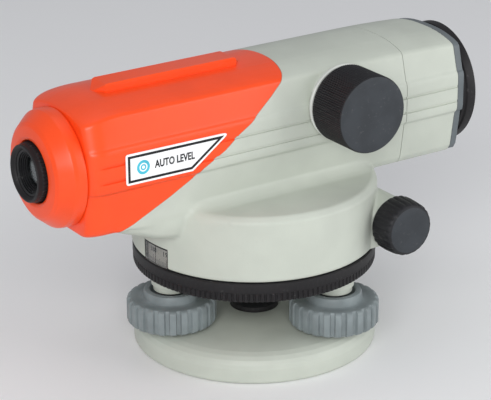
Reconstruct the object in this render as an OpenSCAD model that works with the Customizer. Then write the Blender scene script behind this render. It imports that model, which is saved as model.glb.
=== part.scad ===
// Automatic level: telescope housing on a tribrach with three foot screws and a round base.
// Origin on the vertical axis at the underside of the base, +Z up, +X towards the objective.

/* [Base and foot screws] */
// Radius of the base plate, the setting ring and the skirt
base_r = 54.8; // [54.6:0.1:56]
// Height of the base plate at its middle
base_h = 14.2; // [13.6:0.2:14.4]
// Distance of each foot screw from the vertical axis
foot_pitch_r = 41.6; // [41:0.2:42]
// Radius of a foot-screw knob
foot_knob_r = 19.9; // [18:0.1:20]
// Number of flutes round a foot-screw knob
foot_flutes = 24; // [20:1:28]
// Radius of the tripod thread's bore (5/8 inch, 11 threads per inch)
tripod_bore_r = 6.75; // [6.5:0.05:7]

/* [Telescope] */
// Height of the line of sight above the base
axis_z = 101.5; // [101:0.5:102]
// Half width of the telescope body across its raised side bands
band_half = 27.8; // [27.4:0.1:28.4]
// Wall thickness of the cast housings
wall = 2.6; // [2.2:0.1:2.8]
// Radius of the black ring round the objective
objective_r = 27.8; // [27:0.1:28]
// Radius of the clear objective lens
lens_r = 20; // [18:0.5:20]

/* [Controls] */
// Radius of the focusing knob
focus_knob_r = 17.2; // [16:0.1:18]
// Length of the focusing knob
focus_knob_len = 20.7; // [18:0.1:22]
// Radius of each tangent knob
tangent_knob_r = 12.5; // [11:0.1:12.6]
// Length of each tangent knob
tangent_knob_len = 12.6; // [11:0.1:13]
// Radius of the knurled eyepiece ring
eyepiece_r = 12.9; // [12:0.1:13]

/* [Hidden] */
$fn = 64;

// Colours of the finishes
grey_paint = [0.78, 0.81, 0.76];
orange_paint = [0.98, 0.32, 0.13];
black_plastic = [0.16, 0.16, 0.17];
foot_grey = [0.52, 0.57, 0.59];
plate_grey = [0.38, 0.41, 0.43];
steel = [0.66, 0.67, 0.69];
brass = [0.78, 0.62, 0.32];
glass = [0.70, 0.84, 0.88];
label_white = [0.93, 0.94, 0.94];

// Foot screws: the rear one tips the tribrach about the line through the other two
foot_angle_rear = 174.2;
foot_angle_front = foot_angle_rear - 240;
foot_angle_side = foot_angle_rear - 120;
foot_angles = [foot_angle_rear, foot_angle_front, foot_angle_side];
ball_z = 9;
ball_r = 4.5;
shank_r = 4;
neck_r = 2.8;
knob_z0 = 15.4;
knob_z1 = 27.3;
collar_h = 3.7;
boss_z0 = 30.8;
boss_r = 8;
arm_z0 = 33.4;
arm_z1 = 37.5;
hub_z0 = 29;
socket_gap = 0.15;

// Spindle, circle and worm wheel
spindle_r = 8;
run = 0.05;
hub_r = 14.9;
hub_z1 = 46;
ring_z0 = 38.5;
ring_z1 = 47.4;
drum_r = 51.8;
drum_z1 = 56;
ring_teeth = 96;
worm_x = 43;
worm_z = 59.5;
worm_r = 4.5;
wheel_r = worm_x - worm_r - 0.2;
tangent_shaft_r = 2.5;

// Skirt of the main housing
skirt_z0 = 47.9;
skirt_z1 = 77.5;
skirt_wall = 2;
deck_h = 3;
window_start = 175.4;
window_angle = 18.2;
window_z1 = 57.5;

// Telescope body: stations along X and heights
body_x0 = -97.4;
seam_x = 63.5;
front_x = 92.9;
plate_x = 96.3;
ring_x = 103.3;
body_z0 = 74.5;
crown_z = 131.6;
corner_z = 127.3;
corner_y = 23.2;
foot_y = 22.8;
waist_y = 25.4;
band_z0 = 95;
band_z1 = 115;
gap = 0.3;
light_r = 18.4;
rib_z1 = 135.1;
rib_half = 5.8;

// Focusing drive
focus_x = 26;
focus_z = 114.2;
pinion_pitch_r = 3;
pinion_teeth = 12;
pitch = 2 * PI * pinion_pitch_r / pinion_teeth;
rack_y0 = -19;
rack_y1 = -13;
rod_y = 19.5;
rod_z = 94;
rod_r = 1.5;
rod_x1 = seam_x - 1.5;

// Half section of the body at an inset from its outer face, from the bottom to the crown
function half_section(t) = [
    [foot_y - t, body_z0 + t],
    [waist_y - 0.8 - t, 85],
    [waist_y + 0.4 - t, band_z0],
    [band_half - t, band_z0 + 1],
    [band_half - t, band_z1 - 1],
    [waist_y - t, band_z1],
    [corner_y - t, corner_z - t],
    [10, crown_z - 0.9 - t]
];
function section(t) = concat(
    half_section(t),
    [for (i = [len(half_section(t)) - 1:-1:0]) [-half_section(t)[i][0], half_section(t)[i][1]]]
);

// Parting line between the rear shell and the main housing, seen from the side
split_line = [[-84, 70], [-83, 75], [-71, 80.6], [-46, 94.6], [-28, 106.6], [-6, 122], [3.5, 132]];
rear_side = concat([[-130, 70]], split_line, [[1, 140], [-130, 140]]);

// Prism along X with the body's section, t inside the outer face
module body_prism(x0, x1, t) {
    translate([x0, 0, 0]) rotate([90, 0, 90]) linear_extrude(x1 - x0) polygon(section(t));
}

// Plate cut from a side outline, centred on the telescope's middle plane
module side_prism(points, width) {
    rotate([90, 0, 0]) linear_extrude(width, center = true) polygon(points);
}

// Solid of revolution about the line of sight, profile points are [radius, x]
module turned_x(points) {
    translate([0, 0, axis_z]) rotate([0, 90, 0]) rotate_extrude() polygon(points);
}

// Cylinder along the line of sight
module disc_x(x0, x1, r) {
    translate([x0, 0, axis_z]) rotate([0, 90, 0]) cylinder(h = x1 - x0, r = r);
}

// Tube along the line of sight
module tube_x(x0, x1, ro, ri) {
    difference() {
        disc_x(x0, x1, ro);
        disc_x(x0 - 1, x1 + 1, ri);
    }
}

// Cylinder along -Y from y0 down to y1 at a given x and z
module disc_y(x, z, y0, y1, r) {
    translate([x, y0, z]) rotate([90, 0, 0]) cylinder(h = y0 - y1, r = r);
}

// Plano-convex lens: flat face at x0, thickness t, bulging towards +X
module lens_x(x0, t, r, bulge_r) {
    intersection() {
        disc_x(x0, x0 + t, r);
        translate([x0 + t - bulge_r, 0, axis_z]) sphere(bulge_r, $fn = 200);
    }
}

// Flat ring about the vertical axis
module ring_z(z0, z1, ro, ri) {
    translate([0, 0, z0]) difference() {
        cylinder(h = z1 - z0, r = ro);
        translate([0, 0, -1]) cylinder(h = z1 - z0 + 2, r = ri);
    }
}

// Places its children at a foot screw
module at_foot(angle) {
    translate([foot_pitch_r * cos(angle), foot_pitch_r * sin(angle), 0]) children();
}

// A turned profile stands this far outside the tips of a knurl that it doesn't cut
tip_gap = 0.2;

// Round outline with pointed teeth
module toothed_circle(r, depth, teeth) {
    polygon([for (i = [0:2 * teeth - 1])
        let (a = 180 * i / teeth, q = r - depth * (i % 2))
        [q * cos(a), q * sin(a)]]);
}

// ---------- base ----------

module base_plate() {
    boss_hole_r = 10;
    recess_r = 50.5;
    recess_h = 5;
    rim = 4;
    color(grey_paint) difference() {
        union() {
            rotate_extrude() polygon(concat(
                [[boss_hole_r, 0], [base_r - 1, 0], [base_r, 1]],
                [for (a = [0:15:90]) [base_r - rim + rim * cos(a), 9.4 + rim * sin(a)]],
                [[34, base_h], [boss_hole_r, base_h]]
            ));
        }
        difference() {
            translate([0, 0, -1]) cylinder(h = recess_h + 1, r = recess_r);
            translate([0, 0, -2]) cylinder(h = recess_h + 4, r = 16);
        }
        for (a = foot_angles) at_foot(a) {
            translate([0, 0, 4]) cylinder(h = ball_z - 4, r = ball_r + socket_gap);
            translate([0, 0, ball_z]) sphere(ball_r + socket_gap);
            translate([0, 0, ball_z]) cylinder(h = 10, r = neck_r + 0.9);
        }
    }
}

module tripod_boss() {
    flange_r = 11;
    color(black_plastic) difference() {
        union() {
            cylinder(h = base_h, r = 10);
            translate([0, 0, base_h]) cylinder(h = 2.3, r = flange_r);
        }
        translate([0, 0, -1]) cylinder(h = 15, r = tripod_bore_r);
    }
}

module spring_plate() {
    plate_z = 3;
    color(steel) difference() {
        ring_z(plate_z, plate_z + 1.2, 49.5, 16.5);
        for (a = foot_angles) rotate(a + 60) translate([33, 0, 0]) cylinder(h = 20, r = 1.6);
    }
}

module spring_plate_screws() {
    color(steel) for (a = foot_angles) rotate(a + 60) translate([33, 0, 0]) {
        translate([0, 0, 1.4]) cylinder(h = 1.6, r = 3);
        translate([0, 0, 3]) cylinder(h = 2, r = 1.5);
    }
}

// ---------- foot screws ----------

module foot_knob() {
    flute_r = 1;
    bevel = 1.2;
    color(foot_grey) difference() {
        union() {
            intersection() {
                translate([0, 0, knob_z0]) linear_extrude(knob_z1 - knob_z0) difference() {
                    circle(foot_knob_r);
                    for (i = [0:foot_flutes - 1]) rotate(360 * i / foot_flutes)
                        translate([foot_knob_r + 0.2, 0]) circle(flute_r);
                }
                rotate_extrude() polygon([
                    [0, knob_z0], [foot_knob_r - bevel, knob_z0],
                    [foot_knob_r + tip_gap, knob_z0 + bevel + tip_gap],
                    [foot_knob_r + tip_gap, knob_z1 - bevel - tip_gap],
                    [foot_knob_r - bevel, knob_z1], [0, knob_z1]
                ]);
            }
            translate([0, 0, knob_z1 - 1]) cylinder(h = collar_h + 1, r = 12.4);
        }
        translate([0, 0, knob_z1 - 0.4]) cylinder(h = 10, r = boss_r + 1.4);
        cylinder(h = 60, r = shank_r);
    }
}

module foot_spindle() {
    color(steel) union() {
        translate([0, 0, ball_z]) sphere(ball_r);
        translate([0, 0, ball_z]) cylinder(h = 8, r = neck_r);
        translate([0, 0, knob_z0 + 0.3]) cylinder(h = 36.5 - knob_z0 - 0.3, r = shank_r);
    }
}

module foot_knob_rear() { at_foot(foot_angle_rear) foot_knob(); }
module foot_knob_front() { at_foot(foot_angle_front) foot_knob(); }
module foot_knob_side() { at_foot(foot_angle_side) foot_knob(); }
module foot_spindle_rear() { at_foot(foot_angle_rear) foot_spindle(); }
module foot_spindle_front() { at_foot(foot_angle_front) foot_spindle(); }
module foot_spindle_side() { at_foot(foot_angle_side) foot_spindle(); }

// ---------- tribrach ----------

bush_r = 6.5;

module tribrach_plate() {
    arm_w = 16;
    arm_h = arm_z1 - arm_z0 - 0.8;
    middle_r = 22.2;
    color(grey_paint) difference() {
        union() {
            translate([0, 0, hub_z0]) cylinder(h = arm_z1 - hub_z0, r = middle_r);
            translate([0, 0, arm_z1 - 1]) cylinder(h = hub_z1 - arm_z1 + 1, r = hub_r);
            for (a = foot_angles) {
                rotate(a) translate([16, -arm_w / 2, arm_z0 + 0.3]) cube([foot_pitch_r - 18, arm_w, arm_h]);
                at_foot(a) translate([0, 0, arm_z0]) cylinder(h = arm_z1 - arm_z0, r = 8.8);
                at_foot(a) translate([0, 0, boss_z0]) cylinder(h = arm_z1 - boss_z0, r = boss_r);
            }
        }
        translate([0, 0, 20]) cylinder(h = 40, r = spindle_r);
        for (a = foot_angles) at_foot(a) translate([0, 0, 20]) cylinder(h = 40, r = bush_r);
        for (a = foot_angles) rotate(a + 60) translate([11.5, 0, hub_z0 - 6]) cylinder(h = 12, r = 1.5);
    }
}

module foot_bushes() {
    open_r = shank_r + 1;
    color(brass) for (a = foot_angles) at_foot(a) translate([0, 0, boss_z0]) difference() {
        cylinder(h = arm_z1 - boss_z0, r = bush_r);
        translate([0, 0, -1]) cylinder(h = 20, r = a == foot_angle_rear ? open_r : shank_r + run);
    }
}

module spindle() {
    color(steel) difference() {
        union() {
            translate([0, 0, hub_z0 - 3]) cylinder(h = 3, r = 15);
            translate([0, 0, hub_z0 - 3]) cylinder(h = 82 - hub_z0, r = spindle_r);
            translate([0, 0, 78]) cylinder(h = 7, r = 5);
        }
        for (a = foot_angles) rotate(a + 60) translate([11.5, 0, hub_z0 - 6]) cylinder(h = 12, r = 1.5);
    }
}

module spindle_screws() {
    color(steel) for (a = foot_angles) rotate(a + 60) translate([11.5, 0, 0]) {
        translate([0, 0, hub_z0 - 4.8]) cylinder(h = 1.8, r = 2.6);
        translate([0, 0, hub_z0 - 3]) cylinder(h = 8.5, r = 1.5);
    }
}

module spindle_nut() {
    color(brass) translate([0, 0, 79.3]) difference() {
        cylinder(h = 4, r = 8.5, $fn = 6);
        translate([0, 0, -1]) cylinder(h = 8, r = 5);
    }
}

// ---------- horizontal circle ----------

module setting_ring() {
    knurl_h = 4.2;
    color(black_plastic) difference() {
        union() {
            translate([0, 0, ring_z0]) linear_extrude(knurl_h) toothed_circle(base_r - 0.4, 0.7, ring_teeth);
            translate([0, 0, ring_z0 + knurl_h]) cylinder(h = ring_z1 - ring_z0 - knurl_h, r = base_r - 0.3);
        }
        translate([0, 0, ring_z0 - 1]) cylinder(h = 3, r = 46);
        translate([0, 0, ring_z0 + 2]) cylinder(h = 20, r = drum_r);
    }
}

module graduated_circle() {
    color(label_white) difference() {
        union() {
            ring_z(ring_z0 + 2, drum_z1, drum_r, drum_r - 0.9);
            ring_z(42.5, 44.2, drum_r - 0.5, 17);
            ring_z(40, 45.6, 18.5, hub_r + 0.1);
        }
    }
}

// ---------- worm drive ----------

module worm_wheel() {
    color(brass) difference() {
        union() {
            ring_z(46.6, 61.5, 13, spindle_r + run);
            ring_z(58, 61, wheel_r - 3, 12);
            ring_z(56.3, 63, wheel_r, wheel_r - 4);
        }
        for (i = [0:5]) rotate(60 * i) translate([23, 0, 50]) cylinder(h = 20, r = 5);
    }
}

module clutch_spring() {
    color(steel) ring_z(61.5, 62.4, 12.5, spindle_r + 0.4);
}

module tangent_shaft() {
    ridges = 7;
    color(steel) union() {
        disc_y(worm_x, worm_z, 55, -55, tangent_shaft_r);
        disc_y(worm_x, worm_z, 11, -11, worm_r - 0.9);
        for (i = [0:ridges - 1]) disc_y(worm_x, worm_z, 10 - 3 * i, 8.6 - 3 * i, worm_r);
    }
}

// A tangent knob lying on the -Y side, with soft ridges and a tapered outer end
module tangent_knob() {
    y0 = 45.8;
    ridges = 18;
    lead = 1.8;
    color(black_plastic) difference() {
        translate([worm_x, -y0, worm_z]) rotate([90, 0, 0]) intersection() {
            linear_extrude(tangent_knob_len) toothed_circle(tangent_knob_r, 0.5, ridges);
            rotate_extrude() polygon([
                [0, 0], [tangent_knob_r - lead, 0], [tangent_knob_r + tip_gap, lead + tip_gap],
                [tangent_knob_r + tip_gap, 8], [tangent_knob_r - 0.9, tangent_knob_len - 1.3],
                [tangent_knob_r - 2.1, tangent_knob_len], [0, tangent_knob_len]
            ]);
        }
        disc_y(worm_x, worm_z, 0, -55, tangent_shaft_r);
    }
}

module tangent_knob_right() { tangent_knob(); }
module tangent_knob_left() { mirror([0, 1, 0]) tangent_knob(); }

module tangent_bushes() {
    color(brass) for (m = [0, 1]) mirror([0, m, 0]) difference() {
        disc_y(worm_x, worm_z, -38.6, -45.2, 5);
        disc_y(worm_x, worm_z, -30, -60, tangent_shaft_r + run);
    }
}

// ---------- housings ----------

// Places its children, pointing along +X, at the four screws of the front section
module at_front_screws(x) {
    for (y = [-18.8, 18.8]) for (z = [83, 120]) translate([x, y, z]) rotate([0, 90, 0]) children();
}

// Boss on the skirt that carries one end of the tangent shaft
module tangent_boss() {
    boss = 10.5;
    disc_y(worm_x, worm_z, -30, -44.6, boss);
    translate([worm_x - boss, -44.6, skirt_z0 + 0.4]) cube([2 * boss, 14.6, worm_z - skirt_z0 - 0.4]);
}

// Rounded chin under the rear of the telescope, down to the skirt
module chin() {
    low_z = 58.6;
    intersection() {
        side_prism([[-84, 78], [-83.5, body_z0], [-56, low_z], [-40, low_z], [-40, 78]], 60);
        translate([-90, 0, 0]) rotate([90, 0, 90]) linear_extrude(60) polygon([
            [-foot_y, 78], [-21, 66], [-9, low_z], [9, low_z], [21, 66], [foot_y, 78]
        ]);
    }
}

module main_housing() {
    deck_z0 = skirt_z1 - deck_h;
    shoulder = 2;
    color(grey_paint) difference() {
        union() {
            difference() {
                union() {
                    body_prism(body_x0 + 4, seam_x, 0);
                    chin();
                }
                side_prism(rear_side, 80);
            }
            rotate_extrude() polygon([
                [0, skirt_z0], [base_r, skirt_z0], [base_r, skirt_z1 - shoulder],
                [base_r - 0.6, skirt_z1 - 0.6], [base_r - shoulder, skirt_z1], [0, skirt_z1]
            ]);
            for (m = [0, 1]) mirror([0, m, 0]) tangent_boss();
            disc_y(focus_x, focus_z, -20, -29.3, 13);
        }
        // telescope cavity, closed in front by a flange round the light path
        body_prism(body_x0 + 1, seam_x - 4, wall);
        disc_x(seam_x - 10, seam_x + 10, light_r);
        // skirt cavity under the deck
        translate([0, 0, skirt_z0 - 1]) cylinder(h = deck_z0 - skirt_z0 + 1, r = base_r - skirt_wall);
        // spindle bush
        cylinder(h = 90, r = 12);
        // tangent bushes, focusing bush, window
        disc_y(worm_x, worm_z, 60, -60, 5);
        disc_y(focus_x, focus_z, -10, -60, 5);
        rotate(window_start) rotate_extrude(angle = window_angle)
            translate([base_r - 6, skirt_z0 - 1]) square([10, window_z1 - skirt_z0 + 1]);
        at_front_screws(seam_x - 10) cylinder(h = 20, r = 1.3);
        guide_rod_pair(rod_x1);
    }
}

module front_housing() {
    color(grey_paint) difference() {
        body_prism(seam_x + gap, front_x, 0);
        body_prism(seam_x + 4.5, front_x + 1, wall);
        disc_x(seam_x - 10, seam_x + 10, light_r);
        at_front_screws(seam_x - 10) cylinder(h = 20, r = 1.3);
    }
}

module front_screws() {
    color(steel) at_front_screws(seam_x) {
        translate([0, 0, -6]) cylinder(h = 2, r = 2);
        translate([0, 0, -4]) cylinder(h = 8, r = 1.3);
    }
}

module front_plate() {
    color(plate_grey) difference() {
        body_prism(front_x + 0.1, plate_x, 0.4);
        disc_x(front_x - 1, ring_x, 24.6);
    }
}

module rear_shell() {
    seat_r = 14;
    rib_x0 = -80;
    rib_x1 = -9.5;
    rib_end = 4;
    color(orange_paint) difference() {
        union() {
            intersection() {
                body_prism(body_x0, 20, 0);
                translate([-0.3, 0, 0]) side_prism(rear_side, 80);
                side_prism([
                    [body_x0, 84], [body_x0 + 2.5, 78], [body_x0 + 9, 74], [20, 74], [20, 140],
                    [body_x0 + 10, 140], [body_x0 + 8, 130.6], [body_x0 + 2, 128.4], [body_x0, 125.5]
                ], 80);
            }
            intersection() {
                translate([rib_x0, -rib_half, 126]) cube([rib_x1 - rib_x0, 2 * rib_half, rib_z1 - 126]);
                side_prism([
                    [rib_x0, 126], [rib_x0, 131], [rib_x0 + rib_end, rib_z1],
                    [rib_x1 - rib_end, rib_z1], [rib_x1, 131], [rib_x1, 126]
                ], 40);
            }
        }
        intersection() {
            body_prism(body_x0 + wall, 30, wall);
            side_prism([
                [body_x0 + wall, 81.5], [body_x0 + 12, 60], [30, 60], [30, 127], [body_x0 + 9, 127],
                [body_x0 + wall, 123]
            ], 80);
        }
        disc_x(body_x0 - 5, body_x0 + 5, seat_r);
        for (y = [-10, 10]) translate([-88, y, 60]) cylinder(h = 30, r = 1.3);
    }
}

module rear_shell_screws() {
    color(steel) for (y = [-10, 10]) translate([-88, y, 0]) {
        translate([0, 0, body_z0 + 2.9]) cylinder(h = 2, r = 2.3);
        translate([0, 0, body_z0 + 0.6]) cylinder(h = 2.3, r = 1.3);
    }
}

module label_plate() {
    color(label_white) translate([0, -band_half, 0]) rotate([90, 0, 0]) linear_extrude(0.5) polygon([
        [-81.4, 111.6], [-30.3, 111], [-48.9, 97.8], [-81.4, 97.9]
    ]);
}

module circle_window() {
    color(glass) rotate(window_start + 0.2) rotate_extrude(angle = window_angle - 0.4)
        translate([base_r - 1.9, skirt_z0 + 0.2]) square([1.5, window_z1 - skirt_z0 - 0.4]);
}

module axis_bush() {
    color(brass) difference() {
        union() {
            translate([0, 0, 62.8]) cylinder(h = 15.6, r = 12);
            translate([0, 0, 72]) cylinder(h = 2.5, r = 17);
        }
        cylinder(h = 90, r = spindle_r + run);
    }
}

// ---------- focusing ----------

module focus_bush() {
    color(grey_paint) difference() {
        union() {
            disc_y(focus_x, focus_z, -20.5, -30, 5);
            disc_y(focus_x, focus_z, -29.3, -31, 16.6);
        }
        disc_y(focus_x, focus_z, -10, -60, 2 + run);
    }
}

module focus_knob() {
    y0 = 31.5;
    ridges = 60;
    color(black_plastic) difference() {
        translate([focus_x, -y0, focus_z]) rotate([90, 0, 0]) intersection() {
            linear_extrude(focus_knob_len) toothed_circle(focus_knob_r, 0.5, ridges);
            rotate_extrude() polygon([
                [0, 0], [focus_knob_r - 1, 0], [focus_knob_r + tip_gap, 1 + tip_gap],
                [focus_knob_r + tip_gap, focus_knob_len - 1.6], [focus_knob_r - 1.4, focus_knob_len],
                [0, focus_knob_len]
            ]);
        }
        disc_y(focus_x, focus_z, 0, -48, 2);
    }
}

// Shaft of the focusing knob with the pinion cut on its inner end
module focus_pinion() {
    tooth_half = 8;
    tip_r = pinion_pitch_r + 0.3;
    root_r = pinion_pitch_r - 0.5;
    color(steel) union() {
        disc_y(focus_x, focus_z, rack_y1 + 0.5, -48, 2);
        translate([focus_x, rack_y1, focus_z]) rotate([90, 0, 0]) linear_extrude(rack_y1 - rack_y0)
            polygon([for (i = [0:pinion_teeth - 1]) for (k = [[-10, 0], [-4, 1], [4, 1], [10, 0]])
                let (a = -90 + 360 * i / pinion_teeth + k[0], q = k[1] == 1 ? tip_r : root_r)
                [q * cos(a), q * sin(a)]]);
    }
}

module focus_carriage() {
    x0 = 14;
    x1 = 38;
    rack_x0 = 11.1;
    rack_gaps = 18;
    rack_z = focus_z - pinion_pitch_r + 0.2;
    groove = 0.9;
    color(steel) difference() {
        union() {
            disc_x(x0, x1, 13);
            translate([rack_x0, rack_y0, 104]) cube([rack_gaps * pitch, rack_y1 - rack_y0, rack_z - 104]);
            translate([x0 + 2, rack_y0, 104]) cube([x1 - x0 - 4, 10, 3.5]);
            for (x = [x0, x1 - 6]) translate([x, -22.5, rod_z - 3]) cube([6, 45, 6]);
        }
        disc_x(x0 - 5, x1 + 5, 11);
        for (i = [-8:8]) translate([focus_x + i * pitch, 0, 0]) rotate([90, 0, 0])
            translate([0, 0, -rack_y1 - 1]) linear_extrude(rack_y1 - rack_y0 + 2) polygon([
                [-0.42, rack_z - groove], [0.42, rack_z - groove], [0.62, rack_z + 1], [-0.62, rack_z + 1]
            ]);
        for (y = [-rod_y, rod_y]) translate([x0 - 5, y, rod_z]) rotate([0, 90, 0])
            cylinder(h = 40, r = rod_r + run);
    }
}

module focus_lens() {
    color(glass) lens_x(24, 5, 11, 60);
}

// The two rods that the carriage slides on, from their rear bar to x1
module guide_rod_pair(x1) {
    x0 = -12;
    for (y = [-rod_y, rod_y]) translate([x0, y, rod_z]) rotate([0, 90, 0]) cylinder(h = x1 - x0, r = rod_r);
}

module guide_rods() {
    bar_half = 22.2;
    color(steel) union() {
        guide_rod_pair(rod_x1);
        translate([-14, -bar_half, rod_z - 7]) cube([2.5, 2 * bar_half, 4.5]);
        for (y = [-rod_y, rod_y]) translate([-14, y - 3, rod_z - 4]) cube([2.5, 6, 6.5]);
    }
}

// ---------- objective ----------

module objective_ring() {
    color(black_plastic) turned_x([
        [21.4, front_x + 0.2], [24.2, front_x + 0.2], [24.2, plate_x + 0.1],
        [objective_r - 1.2, plate_x + 0.1], [objective_r - 0.6, plate_x + 1.6],
        [objective_r, plate_x + 2.2], [objective_r, ring_x - 0.6],
        [objective_r - 0.6, ring_x], [objective_r - 2.6, ring_x], [24, ring_x - 2.5], [21.4, ring_x - 4.5]
    ]);
}

module objective_cell() {
    color(black_plastic) union() {
        tube_x(seam_x + 4.6, front_x - 0.1, 23.3, lens_r);
        tube_x(80, 86, 21, 17);
    }
}

module objective_lens() {
    color(glass) union() {
        lens_x(86.2, 6.5, lens_r, 70);
        disc_x(86.1, 88, lens_r);
    }
}

// ---------- eyepiece ----------

module eyepiece_cover() {
    hole_r = eyepiece_r + 0.7;
    face_x = -110.3;
    color(orange_paint) turned_x([
        [hole_r, face_x], [15, face_x], [19, face_x + 0.8], [21.5, face_x + 2], [23.8, face_x + 4],
        [25.1, face_x + 6.5], [25.5, body_x0 - 0.2], [23, body_x0 - 0.2], [22.6, face_x + 6.6],
        [20, face_x + 3.8], [hole_r, face_x + 2.4]
    ]);
}

module eyepiece_mount() {
    bore = 9.9 + run;
    color(black_plastic) difference() {
        union() {
            disc_x(-107.6, -78, 13.4);
            disc_x(body_x0 + wall, body_x0 + wall + 2.5, 18.6);
        }
        disc_x(-110, -70, bore);
        disc_x(-84, -70, 12);
        for (a = [0:90:270]) translate([-81, 0, axis_z]) rotate([a, 0, 0]) cylinder(h = 20, r = 1.1);
    }
}

module eyepiece_ring() {
    ridges = 48;
    x0 = -113.8;
    x1 = -107.9;
    color(black_plastic) difference() {
        intersection() {
            translate([x0, 0, axis_z]) rotate([0, 90, 0]) linear_extrude(x1 - x0)
                toothed_circle(eyepiece_r, 0.4, ridges);
            turned_x([
                [0, x0], [eyepiece_r - 1.2, x0], [eyepiece_r - 0.7, x0 + 0.6], [eyepiece_r - 0.5, x0 + 2.4],
                [eyepiece_r + tip_gap, x0 + 3], [eyepiece_r + tip_gap, x1], [0, x1]
            ]);
        }
        disc_x(x0 - 1, x1 + 1, 9.9 + run);
    }
}

module eyepiece_tube() {
    color(black_plastic) union() {
        tube_x(-111.8, -87, 9.9, 8);
        tube_x(-106.3, -105.3, 9, 6);
    }
}

module eye_lens() {
    color(glass) mirror([1, 0, 0]) lens_x(106.4, 3, 8, 30);
}

module field_lens() {
    color(glass) lens_x(-93, 3, 8, 30);
}

module reticle_ring() {
    color(brass) difference() {
        tube_x(-83, -79, 11.6, 7);
        for (a = [0:90:270]) translate([-81, 0, axis_z]) rotate([a, 0, 0]) translate([0, 0, 9.5])
            cylinder(h = 20, r = 1);
    }
}

module reticle_plate() {
    color(glass) disc_x(-82, -80.6, 7);
}

module reticle_screws() {
    color(steel) for (a = [0:90:270]) translate([-81, 0, axis_z]) rotate([a, 0, 0]) {
        translate([0, 0, 9.5]) cylinder(h = 5, r = 1);
        translate([0, 0, 14.2]) cylinder(h = 2, r = 2);
    }
}

// ---------- compensator ----------

comp_x = -42;

module compensator_frame() {
    color(steel) union() {
        for (y = [-19, 17]) translate([comp_x - 20, y, 79]) cube([40, 2, 45]);
        translate([comp_x - 20, -19, 121]) cube([40, 38, 3]);
        translate([comp_x - 20, -19, 79]) cube([24, 38, 2.5]);
        translate([comp_x - 20, -19, 91]) cube([9, 38, 2]);
    }
}

module roof_prism() {
    color(glass) translate([comp_x - 20, 0, 0]) difference() {
        translate([0, -8, 93]) cube([9, 16, 16]);
        translate([-1, 0, 113]) rotate([45, 0, 0]) translate([0, 4, 4]) cube([11, 20, 20]);
    }
}

module suspension_wires() {
    color(steel) for (x = [-6, 6]) for (y = [-10, 10])
        translate([comp_x + x, y, 116.3]) cylinder(h = 4.7, r = 0.25);
}

module damping_cup() {
    color(brass) translate([comp_x, 0, 81.5]) difference() {
        cylinder(h = 6, r = 8);
        translate([0, 0, 1.2]) cylinder(h = 6, r = 7.1);
    }
}

module pendulum() {
    color(brass) difference() {
        union() {
            translate([comp_x - 9, -13, 91]) cube([18, 26, 25]);
            translate([comp_x, 0, 84]) cylinder(h = 8, r = 2);
            translate([comp_x, 0, 84]) cylinder(h = 2.4, r = 6.2);
        }
        translate([comp_x - 10, -10, 94]) cube([20, 20, 17]);
    }
}

module pendulum_prism() {
    color(glass) side_prism([
        [comp_x - 8, 94], [comp_x + 8, 94], [comp_x + 8, 98], [comp_x, 110.5], [comp_x - 8, 98]
    ], 19.6);
}

// ---------- circular bubble on the far side ----------

bubble_x = -8;
bubble_y = 39.6;

module bubble_housing() {
    color(black_plastic) translate([bubble_x, bubble_y, skirt_z1]) difference() {
        union() {
            cylinder(h = 7.5, r = 11);
            cylinder(h = 2, r = 12.5);
        }
        translate([0, 0, 1.5]) cylinder(h = 10, r = 9);
    }
}

module bubble_vial() {
    color(glass) translate([bubble_x, bubble_y, skirt_z1 + 1.5]) intersection() {
        cylinder(h = 7, r = 9);
        translate([0, 0, -33]) sphere(40, $fn = 200);
    }
}

module prism_holder() {
    outer_y = 49;
    reach = outer_y - band_half;
    color(black_plastic) rotate([90, 0, 0]) translate([0, 0, -outer_y]) linear_extrude(reach) polygon([
        [0.3, 89], [3.5, 89], [3.5, 92], [-11.5, 107], [-15, 107], [-15, 104.3]
    ]);
}

module bubble_prism() {
    color(glass) rotate([90, 0, 0]) translate([0, 0, -47.5]) linear_extrude(14) polygon([
        [-15, 89], [0, 89], [-15, 104]
    ]);
}

base_plate();
tripod_boss();
spring_plate();
spring_plate_screws();
foot_knob_rear();
foot_knob_front();
foot_knob_side();
foot_spindle_rear();
foot_spindle_front();
foot_spindle_side();
tribrach_plate();
foot_bushes();
spindle();
spindle_screws();
spindle_nut();
setting_ring();
graduated_circle();
worm_wheel();
clutch_spring();
main_housing();
front_housing();
front_plate();
front_screws();
rear_shell();
rear_shell_screws();
label_plate();
circle_window();
axis_bush();
tangent_bushes();
tangent_shaft();
tangent_knob_right();
tangent_knob_left();
focus_bush();
focus_knob();
focus_pinion();
focus_carriage();
focus_lens();
guide_rods();
objective_ring();
objective_cell();
objective_lens();
eyepiece_cover();
eyepiece_mount();
eyepiece_ring();
eyepiece_tube();
eye_lens();
field_lens();
reticle_ring();
reticle_plate();
reticle_screws();
compensator_frame();
roof_prism();
suspension_wires();
damping_cup();
pendulum();
pendulum_prism();
bubble_housing();
bubble_vial();
prism_holder();
bubble_prism();
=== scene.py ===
# %% [markdown]
# # An automatic level, piece by piece
#
# A surveyor's automatic level is a telescope that keeps its own line of sight horizontal. Its castings
# are painted with a fine textured enamel, its knobs are moulded in black and grey plastic, and its
# inside is steel, brass and glass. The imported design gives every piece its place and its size. What is
# made here is the look: soft casting edges, knurls, flutes, a scale, and finishes with real grain.

# %% Load the fixed frame
import math

import bmesh
import bpy
from mathutils import Matrix, Vector


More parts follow.
